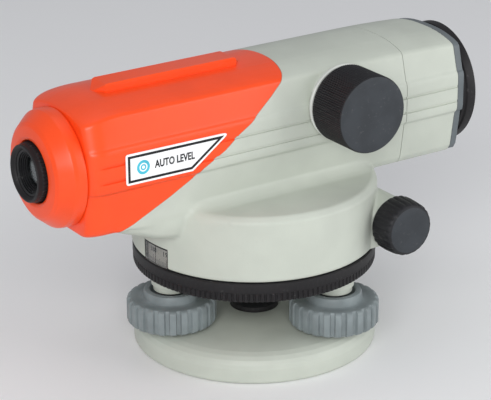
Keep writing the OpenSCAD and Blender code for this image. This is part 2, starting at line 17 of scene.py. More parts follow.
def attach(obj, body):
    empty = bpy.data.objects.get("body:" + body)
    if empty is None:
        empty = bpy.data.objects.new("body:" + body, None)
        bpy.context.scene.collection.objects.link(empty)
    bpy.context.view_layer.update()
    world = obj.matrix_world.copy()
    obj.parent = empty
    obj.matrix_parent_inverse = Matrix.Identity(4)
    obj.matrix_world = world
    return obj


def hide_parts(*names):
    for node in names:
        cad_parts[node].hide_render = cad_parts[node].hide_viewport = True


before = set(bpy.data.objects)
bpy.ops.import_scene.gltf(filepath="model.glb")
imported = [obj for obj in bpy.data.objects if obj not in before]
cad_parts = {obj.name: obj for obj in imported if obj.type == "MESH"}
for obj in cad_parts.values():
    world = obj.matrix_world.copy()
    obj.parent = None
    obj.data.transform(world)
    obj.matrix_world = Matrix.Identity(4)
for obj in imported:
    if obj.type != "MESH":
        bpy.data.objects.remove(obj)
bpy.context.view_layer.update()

mm = 0.001
quarter = math.radians(90)


def scene_object(name, data):
    """A new object, linked into the scene."""
    made = bpy.data.objects.new(name, data)
    bpy.context.scene.collection.objects.link(made)
    return made


print("nodes in the design:", len(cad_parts))

# %% [markdown]
# ## Where the picture is taken from
#
# A long lens about a metre away keeps the telescope's sides almost parallel, as a catalogue view does.
# The camera is placed by its direction and its distance from a point inside the skirt, so that it can
# be thought about in angles. A small roll keeps the base level with the frame.

# %% Camera
view_azimuth = math.radians(-33.55)
view_elevation = math.radians(21.68)
view_roll = math.radians(-0.37)
view_distance = 0.9558
lens_length = 153.0
aim_point = Vector((10.1, 21.87, 54.9)) * mm
turn = (
    Matrix.Rotation(view_azimuth, 3, "Z")
    @ Matrix.Rotation(quarter - view_elevation, 3, "X")
    @ Matrix.Rotation(view_roll, 3, "Z")
)
camera = scene_object("camera", bpy.data.cameras.new("camera"))
camera.data.lens = lens_length
camera.data.sensor_width = 36.0
camera.data.clip_start = 0.05
camera.location = aim_point + turn @ Vector((0, 0, view_distance))
camera.rotation_euler = turn.to_euler()
bpy.context.scene.camera = camera
print("camera stands at", [round(c, 3) for c in camera.location])

# %% [markdown]
# ## Shader maths as arithmetic
#
# A finish is mostly arithmetic on noises and masks. `Signal` wraps one output of a node, and its
# operators add the Math nodes, so that `0.4 + 0.1 * grain` reads as it would on paper. `Finish` owns
# one material, and its `add` makes every other kind of node: the kind, its settings, then the values
# or links of its sockets. Colours are mixed by `tint`, because Math nodes would turn them grey.

# %% Signals and finishes
class Signal:
    """One output socket of a finish, usable in plain arithmetic."""

    def __init__(self, finish, socket):
        self.finish = finish
        self.socket = socket

    def math(self, operation, *values):
        pairs = dict(enumerate(values))
        return self.finish.add("ShaderNodeMath", {"operation": operation}, pairs)

    def __add__(self, other):
        return self.math("ADD", self, other)

    def __radd__(self, other):
        return self.math("ADD", other, self)

    def __sub__(self, other):
        return self.math("SUBTRACT", self, other)

    def __rsub__(self, other):
        return self.math("SUBTRACT", other, self)

    def __mul__(self, other):
        return self.math("MULTIPLY", self, other)

    def __rmul__(self, other):
        return self.math("MULTIPLY", other, self)

    def ramp(self, low, high):
        """Smooth step of this signal, 0 below low and 1 above high."""
        values = {"Value": self, "From Min": low, "From Max": high, "To Min": 0.0, "To Max": 1.0}
        return self.finish.add("ShaderNodeMapRange", {"interpolation_type": "SMOOTHSTEP"}, values)


class Finish:
    """A material with one Principled shader and named helpers for what feeds it."""

    def __init__(self, name, **constants):
        self.material = bpy.data.materials.new(name)
        self.material.use_nodes = True
        self.tree = self.material.node_tree
        self.shader = self.tree.nodes["Principled BSDF"]
        for socket, value in constants.items():
            self.shader.inputs[socket.replace("_", " ")].default_value = value

    def add(self, kind, settings=None, values=None, output=0):
        node = self.tree.nodes.new(kind)
        for key, value in (settings or {}).items():
            setattr(node, key, value)
        for key, value in (values or {}).items():
            self.plug(value, node.inputs[key])
        return Signal(self, node.outputs[output])

    def plug(self, value, socket):
        if isinstance(value, Signal):
            self.tree.links.new(value.socket, socket)
        else:
            socket.default_value = value

    def feed(self, socket, value):
        self.plug(value, self.shader.inputs[socket])

    def place(self):
        return self.add("ShaderNodeTexCoord", output="Object")

    def noise(self, size, detail=2.0, stretch=(1, 1, 1)):
        """Noise whose grains are about size metres across, centred on a half."""
        place = {"Vector": self.place(), "Scale": stretch}
        where = self.add("ShaderNodeMapping", {"vector_type": "POINT"}, place)
        values = {"Vector": where, "Scale": 1 / size, "Detail": detail, "Roughness": 0.55}
        return self.add("ShaderNodeTexNoise", {"noise_dimensions": "3D"}, values)

    def tint(self, mask, under, over):
        """Colour under where mask is 0 and over where it is 1."""
        values = {0: mask, 6: under, 7: over}
        return self.add("ShaderNodeMix", {"data_type": "RGBA"}, values, output=2)

    def convex_edges(self, low=0.53, high=0.60):
        """1 on convex edges, found by their pointiness."""
        return self.add("ShaderNodeNewGeometry", output="Pointiness").ramp(low, high)

    def relief(self, height, depth):
        """Bumps as deep as depth where height is 1."""
        values = {"Height": height, "Distance": depth, "Strength": 1.0}
        self.feed("Normal", self.add("ShaderNodeBump", {}, values))


def shade(colour, factor):
    """The same colour, lighter or darker."""
    return tuple(min(1.0, c * factor) for c in colour[:3]) + (1.0,)


print("shader helpers are ready")

# %% [markdown]
# ## The enamels
#
# Instrument housings are sprayed with an enamel that dries to a fine pebble, which hides small casting
# marks and gives a soft, broken shine. Two noises make it: a grain of about half a millimetre for the
# pebble, and a slow one for the unevenness of spraying by hand. Convex edges are tinted lighter, which is
# a painted highlight. The same recipe serves the grey and the orange, and only the colour, the shine and
# the depth of the pebble change.

# %% Textured enamel
def enamel(name, colour, roughness, pebble, depth, coat):
    finish = Finish(name, Specular_IOR_Level=0.35, Coat_Roughness=0.22, Coat_Weight=coat)
    grain = finish.noise(pebble, 3.0)
    cloud = finish.noise(18 * mm, 2.0)
    speck = finish.noise(0.9 * mm, 2.0).ramp(0.62, 0.72)
    body = finish.tint(cloud.ramp(0.3, 0.7), shade(colour, 0.965), shade(colour, 1.03))
    body = finish.tint(0.10 * speck, body, shade(colour, 0.72))
    # Convex edges are tinted towards a colour 1.25 times lighter: a painted highlight along the edges.
    body = finish.tint(0.22 * finish.convex_edges(), body, shade(colour, 1.25))
    finish.feed("Base Color", body)
    finish.feed("Roughness", roughness + 0.12 * (grain - 0.5) + 0.06 * (cloud - 0.5))
    finish.relief(grain + 0.35 * finish.noise(3.2 * pebble, 1.0), depth)
    return finish.material


grey_enamel = enamel("grey_enamel", (0.535, 0.568, 0.500), 0.50, 0.55 * mm, 0.035 * mm, 0.06)
orange_enamel = enamel("orange_enamel", (0.960, 0.076, 0.010), 0.36, 0.60 * mm, 0.025 * mm, 0.15)
print("enamels:", grey_enamel.name, orange_enamel.name)

# %% [markdown]
# ## Plastics, metals and glass
#
# Moulded plastic carries a very fine spark-eroded grain from its mould, and its edges polish lighter in
# the hand. Turned metal shows fine lines round its axis, which a noise stretched along one direction
# stands for. Lenses are clear with a faint coated colour.

# %% Plastics, metals, glass
def moulded(name, colour, roughness, grain_size, depth, rub=0.35):
    finish = Finish(name, Specular_IOR_Level=0.3)
    grain = finish.noise(grain_size, 3.0)
    cloud = finish.noise(9 * mm, 2.0)
    body = finish.tint(cloud.ramp(0.3, 0.7), shade(colour, 0.90), shade(colour, 1.10))
    rubbed = tuple(0.8 * c + 0.06 for c in colour) + (1.0,)
    body = finish.tint(rub * finish.convex_edges(0.52, 0.62), body, rubbed)
    dust = finish.noise(1.6 * mm, 4.0).ramp(0.60, 0.78)
    body = finish.tint(0.10 * dust, body, (0.42, 0.41, 0.40, 1.0))
    finish.feed("Base Color", body)
    finish.feed("Roughness", roughness + 0.16 * (grain - 0.5) + 0.10 * dust)
    finish.relief(grain, depth)
    return finish.material


def machined(name, colour, roughness, along=(1, 1, 1)):
    finish = Finish(name, Metallic=1.0)
    lines = finish.noise(0.25 * mm, 2.0, along)
    stain = finish.noise(6 * mm, 3.0)
    body = finish.tint(stain.ramp(0.35, 0.7), shade(colour, 0.88), shade(colour, 1.05))
    finish.feed("Base Color", body)
    finish.feed("Roughness", roughness + 0.14 * (lines - 0.5) + 0.08 * (stain - 0.5))
    finish.relief(lines, 0.01 * mm)
    return finish.material


def clear(name, colour, roughness=0.02):
    finish = Finish(name, IOR=1.5, Transmission_Weight=1.0, Coat_Weight=0.0)
    smear = finish.noise(5 * mm, 2.0)
    body = finish.tint(smear.ramp(0.4, 0.7), shade(colour, 0.985), shade(colour, 1.0))
    finish.feed("Base Color", body)
    finish.feed("Roughness", roughness + 0.02 * smear)
    return finish.material


black_plastic = moulded("black_plastic", (0.009, 0.008, 0.009), 0.50, 0.25 * mm, 0.012 * mm)
knob_plastic = moulded("knob_plastic", (0.013, 0.013, 0.015), 0.52, 0.22 * mm, 0.015 * mm)
knob_face = moulded("knob_face", (0.036, 0.041, 0.047), 0.52, 0.20 * mm, 0.020 * mm, 0.15)
foot_plastic = moulded("foot_plastic", (0.222, 0.256, 0.262), 0.42, 0.30 * mm, 0.012 * mm)
plate_plastic = moulded("plate_plastic", (0.125, 0.145, 0.155), 0.45, 0.30 * mm, 0.015 * mm)
black_anodised = moulded("black_anodised", (0.009, 0.009, 0.010), 0.45, 0.15 * mm, 0.006 * mm, 0.2)
pale_collar = moulded("pale_collar", (0.640, 0.660, 0.620), 0.42, 0.30 * mm, 0.008 * mm, 0.1)
joint_seal = moulded("joint_seal", (0.020, 0.019, 0.018), 0.70, 0.30 * mm, 0.010 * mm, 0.0)
bright_steel = machined("bright_steel", (0.60, 0.60, 0.62), 0.30, (1, 1, 6))
turned_brass = machined("turned_brass", (0.70, 0.50, 0.22), 0.32, (1, 1, 6))
coated_glass = clear("coated_glass", (0.80, 0.90, 0.93))
window_glass = clear("window_glass", (0.96, 0.98, 0.97), 0.05)
white_film = moulded("white_film", (0.92, 0.93, 0.93), 0.30, 0.60 * mm, 0.004 * mm, 0.0)
# Black ink for print, also used for the strips of painted shadow round the reading window.
ink_and_painted_shadow = moulded("ink_and_painted_shadow", (0.012, 0.012, 0.014), 0.35, 0.60 * mm, 0.003 * mm, 0.0)
blue_ink = moulded("blue_ink", (0.060, 0.480, 0.620), 0.35, 0.60 * mm, 0.003 * mm, 0.0)
circle_paint = moulded("circle_paint", (0.50, 0.47, 0.42), 0.45, 0.50 * mm, 0.006 * mm, 0.0)
print("finishes made:", len(bpy.data.materials))

# %% [markdown]
# ## Tools for making pieces
#
# Most of the level is turned or moulded about an axis, so one `lathe` makes those pieces from a profile
# of radius and height. `rounded` puts a small arc on each corner of a profile, since no real edge is
# sharp. A `knurl` function may change the radius round the axis. `piece` turns points and faces into a
# finished object that rides on a body of the design and stands for its node.

# %% Making pieces
def piece(name, points, faces, material, body=None, stands_for=(), slot=None):
    mesh = bpy.data.meshes.new(name)
    mesh.from_pydata([tuple(p) for p in points], [], faces)
    work = bmesh.new()
    work.from_mesh(mesh)
    bmesh.ops.remove_doubles(work, verts=work.verts, dist=0.002 * mm)
    bmesh.ops.recalc_face_normals(work, faces=work.faces)
    work.to_mesh(mesh)
    work.free()
    return dress(scene_object(name, mesh), material, body, stands_for)


def dress(made, material, body=None, stands_for=(), smooth_below=32):
    """Gives a piece its finish, its shading and its place in the design."""
    made.data.materials.clear()
    made.data.materials.append(material)
    made.data.shade_smooth()
    made.data.set_sharp_from_angle(angle=math.radians(smooth_below))
    if body:
        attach(made, body)
    if stands_for:
        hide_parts(*stands_for)
    return made


def rounded(corners, radius, steps=4, closed=False):
    """The same outline with an arc of about that radius at each corner, smaller where it's crowded."""
    count = len(corners)
    result = []
    for i, corner in enumerate(corners):
        here = Vector(corner)
        if not closed and i in (0, count - 1):
            result.append(tuple(here))
            continue
        before = Vector(corners[i - 1]) - here
        after = Vector(corners[(i + 1) % count]) - here
        angle = before.angle(after, math.pi)
        if angle > math.radians(172):
            result.append(tuple(here))
            continue
        reach = radius / math.tan(angle / 2)
        reach = min(reach, 0.45 * before.length, 0.45 * after.length)
        start = here + before.normalized() * reach
        end = here + after.normalized() * reach
        for k in range(steps + 1):
            t = k / steps
            result.append(tuple((1 - t) ** 2 * start + 2 * t * (1 - t) * here + t * t * end))
    return result


def grid_faces(rows, columns, wrap_rows=False, wrap_columns=True):
    """Quads of a grid of points stored row by row."""
    faces = []
    for i in range(rows if wrap_rows else rows - 1):
        for j in range(columns if wrap_columns else columns - 1):
            right = (j + 1) % columns
            here = i * columns
            below = (i + 1) % rows * columns
            faces.append((here + j, here + right, below + right, below + j))
    return faces


def turned(profile, steps, knurl=None, closed=True):
    """A profile of (radius, height) turned round Z. knurl(angle, row) is added to the radius."""
    points = []
    for k, (radius, height) in enumerate(profile):
        for i in range(steps):
            angle = 2 * math.pi * i / steps
            reach = radius + (knurl(angle, k) if knurl else 0)
            points.append((reach * math.cos(angle), reach * math.sin(angle), height))
    return points, grid_faces(len(profile), steps, wrap_rows=closed)


along_z = Matrix.Identity(4)
sight_height = 101.5 * mm
along_x = Matrix.Translation((0, 0, sight_height)) @ Matrix.Rotation(quarter, 4, "Y")


def along_y(x, z):
    """Turns height into -Y at a given x and z, for the knobs on the right side."""
    return Matrix.Translation((x, 0, z)) @ Matrix.Rotation(quarter, 4, "X")


def sized(rows, base=0.0):
    """A profile in metres from (radius, height) in millimetres, its heights counted from base."""
    return [(radius * mm, base + height * mm) for radius, height in rows]


def lathe(name, profile, steps, material, axis=along_z, knurl=None, closed=True, **place):
    points, faces = turned(profile, steps, knurl, closed)
    points = [axis @ Vector(p) for p in points]
    return piece(name, points, faces, material, **place)


def loft(sections):
    """Closed solid through sections with equal numbers of points, its two ends filled."""
    columns = len(sections[0])
    points = [p for section in sections for p in section]
    faces = grid_faces(len(sections), columns)
    faces.append(tuple(reversed(range(columns))))
    last = (len(sections) - 1) * columns
    faces.append(tuple(range(last, last + columns)))
    return points, faces


def paint_node(name, material):
    """A design node whose shape is right keeps it, and only gets a finish."""
    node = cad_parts[name]
    node.data.materials.clear()
    node.data.materials.append(material)
    for polygon in node.data.polygons:
        polygon.material_index = 0


print("tools are ready")

# %% [markdown]
# ## The telescope's cross section
#
# The castings share one cross section: a shallow arched top, soft shoulders, flat sides with a raised
# band, and a slightly narrower foot. One half is written as corners, rounded and mirrored, and the
# section is repeated at stations along the line of sight. It shrinks over the last few millimetres to
# round the rear face. The grooves in the band are cut later, out of the blended casting.

# %% Cross section
body_back = -97.4 * mm
seam_at = 63.5 * mm
front_at = 92.9 * mm
tail_reach = 8.5 * mm
tail_draw = 4.0 * mm
section_middle = 102.4 * mm
section_reach = 26 * mm
crown_foot = 112 * mm
crown_height = 18.6 * mm
half_outline = [
    (0.0, 74.5), (18.6, 74.5), (21.6, 75.6), (23.2, 78.2), (23.9, 82.0), (25.8, 94.9), (27.3, 95.9),
    (27.7, 98.0), (27.7, 112.4), (27.3, 114.2), (26.5, 114.9), (23.5, 126.6), (22.4, 127.7),
    (20.0, 128.7), (17.0, 129.6), (13.6, 130.4), (10.0, 131.0), (6.5, 131.3), (3.2, 131.45), (0.0, 131.5),
]


def crown_fall(x):
    """How far the arched top has come down at x, where it slopes to the rear and the front face."""
    rear = max(0.0, min(1.0, (-80 * mm - x) / (17.4 * mm)))
    front = max(0.0, min(1.0, (x - 58 * mm) / (35 * mm)))
    return 3.4 * mm * rear * rear + 1.2 * mm * front * front


def body_section(x, inset=0.0, steps=3, draw=0.0):
    """The section at x round the line of sight, smaller by inset, and by draw mostly across."""
    half = rounded(sized(half_outline), 1.0 * mm, steps)
    half = [(a, b - crown_fall(x) * max(0.0, b - crown_foot) / crown_height) for a, b in half]
    ring = [(-a, b) for a, b in half[1:]] + half[-2::-1]
    across = 1 - (inset + draw) / section_reach
    upright = 1 - (inset + 0.15 * draw) / section_reach
    return [(x, a * across, section_middle + (b - section_middle) * upright) for a, b in ring]


def tail_inset(x):
    """How far the section draws in as it rounds over into the rear face."""
    t = max(0.0, min(1.0, (body_back + tail_reach - x) / tail_reach))
    return tail_draw * (1 - math.sqrt(max(0.0, 1 - t * t)))


stations = [body_back + tail_reach * (1 - math.cos(math.radians(a))) for a in range(0, 91, 9)]
stations += [x * mm for x in (-86, -83, -80, -20, 30, 58, 66, 74, 82, 92.9)]
print("section points:", len(body_section(0)), "stations:", len(stations))

# %% [markdown]
# ## One cast body, blended before it is divided
#
# On the real casting the telescope runs down into the round skirt through soft fillets. The rough solids
# are laid into each other and remeshed as one skin of small cells, which joins them, and a few rounds of
# smoothing turn every inner corner into a fillet and every edge into a cast edge. Dividing comes after,
# so that the orange shell and the grey castings meet in one continuous surface.

# %% Rough solids of the casting
skirt_radius = 54.8 * mm
skirt_low = 47.9 * mm
skirt_top = 77.5 * mm
cell = 0.5 * mm


def rough(points, faces):
    """A plain closed solid, kept as bmesh data to be joined into the casting."""
    solid = bmesh.new()
    made = [solid.verts.new(p) for p in points]
    for face in faces:
        solid.faces.new([made[i] for i in face])
    bmesh.ops.remove_doubles(solid, verts=solid.verts, dist=0.001 * mm)
    bmesh.ops.recalc_face_normals(solid, faces=solid.faces)
    return solid


def prism(outline, low, high, axis=None):
    """Closed solid over a flat outline, from low to high along its own Z, then placed by axis."""
    place = axis or Matrix.Identity(4)
    return loft([[place @ Vector((a, b, h)) for a, b in outline] for h in (low, high)])


def round_outline(radius, steps=96):
    angles = [2 * math.pi * i / steps for i in range(steps)]
    return [(radius * math.cos(a), radius * math.sin(a)) for a in angles]


def chin_sections():
    """Sections of the chin that carries the telescope's rear down on to the skirt."""
    result = []
    stages = ((-84, 74.0, 21.5), (-78, 71.8, 22.2), (-70, 68.8, 22.4), (-62, 65.6, 22.2), (-46, 62.4, 21.8))
    for x, low, half in stages:
        side = [
            (23.9, 82), (23.5, 78), (half + 0.6, 75), (half, low + 6.5), (half - 1.2, low + 3.0),
            (half - 4.0, low + 0.8), (half - 8.0, low),
        ]
        ring = [(-a, b) for a, b in side] + [(0, low)] + list(reversed(side))
        result.append([(x * mm, a * mm, max(b, low) * mm) for a, b in ring])
    return result


def fillet_sections(side):
    """Sections of the hollow fillet where the telescope's wall runs out on to the skirt's ledge."""
    result = []
    foot = 23.4 * mm
    inner = 20 * mm
    under = 76 * mm
    ledge_radius = 53 * mm
    for step in range(-12, 13):
        x = 4.0 * mm * step
        ledge = math.sqrt(max(0.0, ledge_radius ** 2 - x * x)) - foot
        reach = max(0.4 * mm, min(7.0 * mm, 0.9 * ledge))
        ring = [(inner, under), (foot + reach, under)]
        for degrees in range(270, 179, -15):
            angle = math.radians(degrees)
            out = foot + reach + reach * math.cos(angle)
            ring.append((out, skirt_top + reach + reach * math.sin(angle)))
        ring.append((inner, skirt_top + reach))
        result.append([(x, side * a, b) for a, b in ring])
    return result


tangent_x = 43.0 * mm
tangent_z = 59.5 * mm
focus_x = 26.0 * mm
focus_z = 114.2 * mm
boss_radius = 10.5 * mm
boss_face = 44.6 * mm


def boss_outline():
    """Arch of the tangent boss: a half round on straight sides."""
    angles = [math.radians(a) for a in range(0, 181, 15)]
    arch = [(boss_radius * math.cos(a), boss_radius * math.sin(a)) for a in angles]
    foot = skirt_low + 0.6 * mm - tangent_z
    return arch + [(-boss_radius, foot), (boss_radius, foot)]


skirt_profile = [
    (0, skirt_low), (skirt_radius, skirt_low), (skirt_radius, skirt_top - 2.4 * mm),
    (skirt_radius - 2.2 * mm, skirt_top), (0, skirt_top),
]
rough_solids = [
    loft([body_section(x, draw=tail_inset(x)) for x in stations]),
    turned(rounded(skirt_profile, 1.6 * mm), 160, closed=False),
    loft(chin_sections()),
    loft(fillet_sections(1)),
    loft(fillet_sections(-1)),
    prism(boss_outline(), 25 * mm, boss_face, along_y(tangent_x, tangent_z)),
    prism(boss_outline(), -boss_face, -25 * mm, along_y(tangent_x, tangent_z)),
    prism(round_outline(13 * mm, 64), 20 * mm, 29.3 * mm, along_y(focus_x, focus_z)),
]
print("rough solids:", len(rough_solids))

# %% Blend them into one skin
def settle(obj):
    """Applies what the modifiers make, and drops the modifiers."""
    bpy.context.view_layer.update()
    shape = obj.evaluated_get(bpy.context.evaluated_depsgraph_get())
    mesh = bpy.data.meshes.new_from_object(shape)
    obj.modifiers.clear()
    obj.data = mesh
    return obj


def join_rough(name, solids):
    whole = bmesh.new()
    for points, faces in solids:
        part = rough(points, faces)
        keep = bpy.data.meshes.new("part")
        part.to_mesh(keep)
        part.free()
        whole.from_mesh(keep)
        bpy.data.meshes.remove(keep)
    mesh = bpy.data.meshes.new(name)
    whole.to_mesh(mesh)
    whole.free()
    return scene_object(name, mesh)


casting = join_rough("casting", rough_solids)
remesh = casting.modifiers.new("skin", "REMESH")
remesh.mode = "VOXEL"
remesh.voxel_size = cell
settle(casting)
smooth = casting.modifiers.new("soften", "SMOOTH")
smooth.factor = 0.5
smooth.iterations = 6
settle(casting)
chin_group = casting.vertex_groups.new(name="chin")
low_rear = [v.index for v in casting.data.vertices if v.co.x < -38 * mm and 51 * mm < v.co.z < 81 * mm]
chin_group.add(low_rear, 1.0, "REPLACE")
again = casting.modifiers.new("soften_chin", "SMOOTH")
again.vertex_group = "chin"
again.factor = 0.5
again.iterations = 40
settle(casting)
print("casting has", len(casting.data.vertices), "points")

# %% [markdown]
# ## Sight rib, hollows and grooves
#
# The sight rib stays crisp on the real casting, so it is added after the smoothing. The castings are
# shells, so a smaller body, the skirt's inside, the bores and the two grooves in each side band are
# then taken out. Booleans do all of it, since each is one plain solid, and the cut edges stay sharp.

# %% Boolean helpers
def cutter(name, points, faces):
    """A solid that is only used to carve, and is removed afterwards."""
    return join_rough(name, [(points, faces)])


def carve(target, tool, operation="DIFFERENCE"):
    change = target.modifiers.new("carve", "BOOLEAN")
    change.operation = operation
    change.object = tool
    change.solver = "MANIFOLD"
    before = len(target.data.vertices)
    settle(target)
    print("  ", operation.lower(), tool.name, before, "->", len(target.data.vertices))
    return target


def clone(source, name):
    return scene_object(name, source.data.copy())


print("boolean helpers are ready")

# %% Sight rib
def rib_sections():
    """Sections of the sight rib, a low bar along the top with ends cut like a boat's."""
    result = []
    for x, width, top in (
        (-81.0, 1.2, 1.4), (-77.2, 5.8, 4.4), (-76.2, 5.8, 4.9),
        (-13.6, 5.8, 4.9), (-12.6, 5.8, 4.4), (-9.0, 1.8, 1.4),
    ):
        side = [(width, -3.4), (width, top - 0.5), (width - 0.5, top)]
        ring = side + [(-a, h) for a, h in reversed(side)]
        result.append([(x * mm, a * mm, (130 + h) * mm) for a, h in ring])
    return result


rib = cutter("sight_rib", *loft(rib_sections()))
carve(casting, rib, "UNION")
bpy.data.objects.remove(rib)

# %% Hollows and grooves
def block(x, y, z):
    """A plain box from three pairs of limits."""
    outline = [(x[0], y[0]), (x[1], y[0]), (x[1], y[1]), (x[0], y[1])]
    return prism(outline, z[0], z[1])


wall = 2.3 * mm
groove_floor = 27.05 * mm
groove_half = 0.65
window_start = math.radians(175.4)
window_angle = math.radians(18.2)
window_top = 57.5 * mm


def window_block():
    """A wedge of the skirt that the reading window takes."""
    steps = 8
    angles = [window_start + window_angle * i / steps for i in range(steps + 1)]
    outer = [(60 * mm * math.cos(a), 60 * mm * math.sin(a)) for a in angles]
    inner = [(50 * mm * math.cos(a), 50 * mm * math.sin(a)) for a in reversed(angles)]
    return prism(outer + inner, 40 * mm, window_top)


cavity_stations = [body_back + x for x in (wall, 4 * mm, 6 * mm, 9 * mm)] + [seam_at - 4 * mm]
cavity = [body_section(x, wall, draw=tail_inset(x - wall)) for x in cavity_stations]
front_cavity = [body_section(x, wall) for x in (seam_at + 4.5 * mm, front_at + 5 * mm)]
hollows = {
    "telescope_space": loft(cavity),
    "front_space": loft(front_cavity),
    "light_way": prism(round_outline(18.4 * mm), 50 * mm, 72 * mm, along_x),
    "skirt_space": prism(round_outline(52.8 * mm, 160), 40 * mm, 74.5 * mm),
    "bush_hole": prism(round_outline(12 * mm), 60 * mm, 90 * mm),
    "tangent_bore": prism(round_outline(5 * mm, 48), -60 * mm, 60 * mm, along_y(tangent_x, tangent_z)),
    "focus_bore": prism(round_outline(5 * mm, 48), 15 * mm, 60 * mm, along_y(focus_x, focus_z)),
    "eyepiece_seat": prism(round_outline(14 * mm, 64), -105 * mm, -90 * mm, along_x),
    "window_gap": window_block(),
}
for height in (107.7, 100.8):
    for side in (-1, 1):
        depth = sorted((side * groove_floor, side * 29 * mm))
        band = ((height - groove_half) * mm, (height + groove_half) * mm)
        hollows["groove_%d_%d" % (height, side)] = block((-98 * mm, 100 * mm), depth, band)
for name, solid in hollows.items():
    tool = cutter(name, *solid)
    carve(casting, tool)
    bpy.data.objects.remove(tool)

# %% [markdown]
# ## Dividing the casting
#
# The orange rear shell is a casting of its own, and so is the front section. The one hollow shell is cut
# where they meet the grey housing, so their surfaces run on into each other. The rear line climbs in a
# slight S from the tail's underside to the top, and bows forwards across the top. A dark seal, slightly
# smaller than the castings, fills both narrow gaps.

# %% Parting lines
parting = [
    (-86.0, 70), (-83.3, 75.2), (-80.7, 76.2), (-75.8, 78.2), (-68.4, 81.9), (-58.0, 87.3), (-48.0, 93.2),
    (-43.2, 97.4), (-32.5, 103.2), (-25.3, 108.9), (-19.0, 112.8), (-7.0, 121.6), (-1.8, 126.0),
    (0.9, 129.0), (1.6, 140),
]
bow = 4.0 * mm
seam_gap = 0.3 * mm


def parting_sections(shift):
    """Outlines of the block behind the parting line, across the body, bowed forwards over the top."""
    line = rounded(sized(parting), 3 * mm, 5)
    result = []
    for i in range(-20, 21):
        y = 1.7 * mm * i
        lean = bow * max(0.0, 1 - (y / (23 * mm)) ** 2)
        ring = []
        for x, z in line:
            high = max(0.0, min(1.0, (z - 116 * mm) / (8 * mm)))
            ring.append((x + shift + lean * high, y, z))
        ring += [(-130 * mm, y, 140 * mm), (-130 * mm, y, 70 * mm)]
        result.append(ring)
    return result


def slab(x0, x1):
    """A block across the whole body between two stations."""
    outline = [(-70 * mm, 20 * mm), (70 * mm, 20 * mm), (70 * mm, 150 * mm), (-70 * mm, 150 * mm)]
    return loft([[(x, a, b) for a, b in outline] for x in (x0, x1)])


print("the parting line has", len(parting), "corners")

# %% Cut the casting and its seals
seal_inset = 0.4
behind = cutter("behind_parting", *loft(parting_sections(-seam_gap)))
before = cutter("before_parting", *loft(parting_sections(0)))
ahead = cutter("ahead_of_seam", *slab(seam_at + seam_gap, 130 * mm))
trim = cutter("housing_trim", *slab(seam_at, 130 * mm))

seal = clone(casting, "joint_seal")
outward = [vertex.normal.copy() for vertex in seal.data.vertices]
for vertex, normal in zip(seal.data.vertices, outward):
    vertex.co -= normal * seal_inset * mm
seal_slab = cutter("seal_slab", *slab(seam_at, seam_at + seam_gap))
front_seal = carve(clone(seal, "front_seal"), seal_slab, "INTERSECT")
carve(carve(seal, before, "INTERSECT"), behind)
dress(seal, joint_seal, "housing")
dress(front_seal, joint_seal, "housing")
rear_shell = carve(clone(casting, "orange_rear_shell"), behind, "INTERSECT")
front_housing = carve(clone(casting, "front_casting"), ahead, "INTERSECT")
main_housing = carve(carve(casting, before), trim)
main_housing.name = "main_casting"
for tool in (behind, before, ahead, trim, seal_slab):
    bpy.data.objects.remove(tool)
dress(rear_shell, orange_enamel, "housing", ["rear_shell"], 34)
dress(front_housing, grey_enamel, "housing", ["front_housing"], 34)
dress(main_housing, grey_enamel, "housing", ["main_housing"], 34)

# %% [markdown]
# ## Orange eyepiece cover
#
# The round cover screws on over the reticle's adjusting screws. It is a turned cap with a rolled rim and
# a dished face round the eyepiece. A lathe profile with small arcs gives it, and the inside is open as
# on the real cap.

# %% Eyepiece cover
cover_face = -110.3 * mm
cover_profile = [
    (13.4, 0.5), (15.0, 0.0), (17.4, 0.3), (19.3, 0.6), (20.9, 1.6), (24.0, 5.4), (25.1, 6.8), (25.4, 8.6),
    (25.5, 12.7), (23.2, 12.7), (22.7, 7.8), (20.4, 4.6), (13.4, 2.4),
]
cover = lathe(
    "orange_eyepiece_cover",
    rounded(sized(cover_profile, cover_face), 0.9 * mm, 5, closed=True), 192, orange_enamel, along_x,
    body="housing", stands_for=["eyepiece_cover"], slot="orange_paint",
)
print("cover points:", len(cover.data.vertices))

# %% [markdown]
# ## Knurled eyepiece ring
#
# The ring is turned to sharpen the cross hairs, so it has a straight knurl for wet fingers and a stepped
# front that guides the eye to the recessed lens. A function of the angle pulls the radius in between
# the teeth, which costs less than cutting each one. Steps inside the tube stop stray light.

# %% Eyepiece ring and lens
def straight_knurl(teeth, depth, rows):
    """Teeth round the axis on the profile rows listed, pointed outwards, flat in between."""
    def knurl(angle, row):
        if row not in rows:
            return 0.0
        phase = (angle * teeth / (2 * math.pi)) % 1.0
        return -depth * abs(2 * phase - 1) ** 1.5
    return knurl


eyepiece_back = -113.8 * mm
eyepiece_profile = [
    (9.95, 5.9), (9.95, 1.6), (10.6, 0.7), (11.3, 0.15), (11.9, 0.1), (12.3, 0.5), (12.4, 1.9), (12.5, 2.4),
    (12.9, 2.7), (12.9, 5.4), (12.6, 5.9),
]
eyepiece_ring = lathe(
    "eyepiece_ring_knurled", sized(eyepiece_profile, eyepiece_back), 384, black_plastic,
    along_x, straight_knurl(48, 0.45 * mm, (8, 9)),
    body="eyepiece_ring", stands_for=["eyepiece_ring"], slot="black_plastic",
)
tube_profile = [(9.85, -111.8), (9.85, -87.0), (8.1, -87.0), (8.1, -106.35)]
for i in range(7):
    step = 6.2 + 0.46 * i
    tube_profile += [(step, -106.5 - 0.72 * i), (step, -107.1 - 0.72 * i)]
lathe(
    "eyepiece_tube_baffled", sized(tube_profile), 128, black_anodised, along_x,
    body="eyepiece_cell", stands_for=["eyepiece_tube"], slot="black_metal",
)
for name in ("eyepiece_mount", "objective_cell"):
    paint_node(name, black_anodised)
print("eyepiece ring points:", len(eyepiece_ring.data.vertices))

# %% [markdown]
# ## Objective end
#
# A dark grey gasket plate closes the front casting, and a black ring in front of it shades the lens. The
# ring is turned with two steps outside and fine baffle threads inside, which kill stray light.

